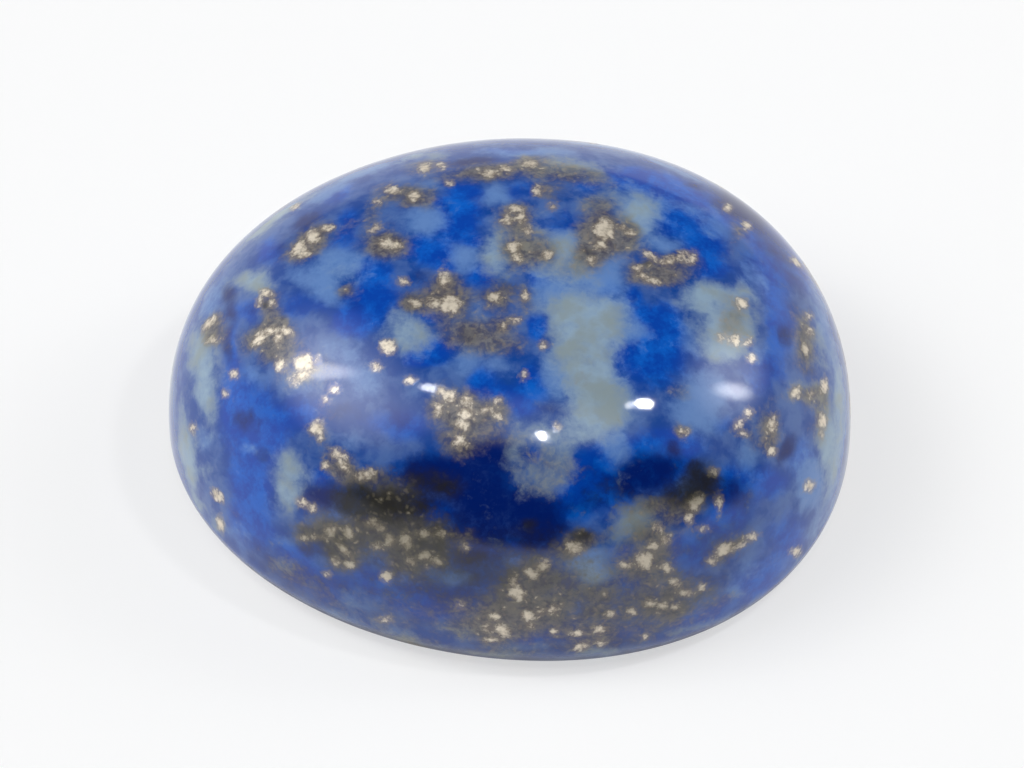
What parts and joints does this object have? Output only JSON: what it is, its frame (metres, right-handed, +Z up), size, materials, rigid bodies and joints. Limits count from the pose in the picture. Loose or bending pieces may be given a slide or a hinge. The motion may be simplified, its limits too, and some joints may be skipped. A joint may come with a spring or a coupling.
{
  "type": "polished lapis lazuli cabochon",
  "caption": "Polished oval lapis lazuli cabochon: a high smooth dome over a rounded girdle and a flat base to rest on.",
  "frame": {"origin": "on the flat base, below the middle of the oval outline", "axes": "+X along the stone's length towards its blunter end, +Z up through the dome, base at z = 0"},
  "size_m": [0.018, 0.015, 0.0076],
  "materials": {
    "polished_lapis": "polished"
  },
  "bodies": {
    "root": {"lapis_cabochon": "polished_lapis"}
  },
  "joints": []
}
